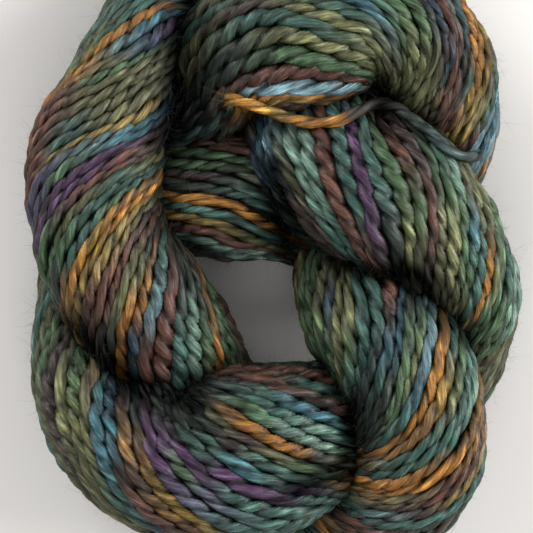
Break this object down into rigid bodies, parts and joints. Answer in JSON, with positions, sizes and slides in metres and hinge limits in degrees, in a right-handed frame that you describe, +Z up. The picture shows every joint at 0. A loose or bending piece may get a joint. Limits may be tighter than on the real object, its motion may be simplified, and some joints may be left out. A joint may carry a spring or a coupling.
{
  "type": "skein of embroidery floss",
  "caption": "Hank of thick variegated embroidery thread, twisted and laid in a ring with an open middle, with a loose thread end in the crease of one fold.",
  "frame": {"origin": "middle of the ring's outline, on the table that it lies on", "axes": "+Z up from the table, +Y along the ring's longer side, +X across it to the right as seen from above"},
  "size_m": [0.0579, 0.0748, 0.0193],
  "materials": {
    "dyed_thread": "lustrous two-ply thread, dyed in runs of teal, green, olive, gold, orange, brown and purple",
    "tie_thread": "the same two-ply thread where its dye is orange, with a soft cut end"
  },
  "bodies": {
    "root": {"skein": "dyed_thread", "tie": "tie_thread"}
  },
  "joints": []
}
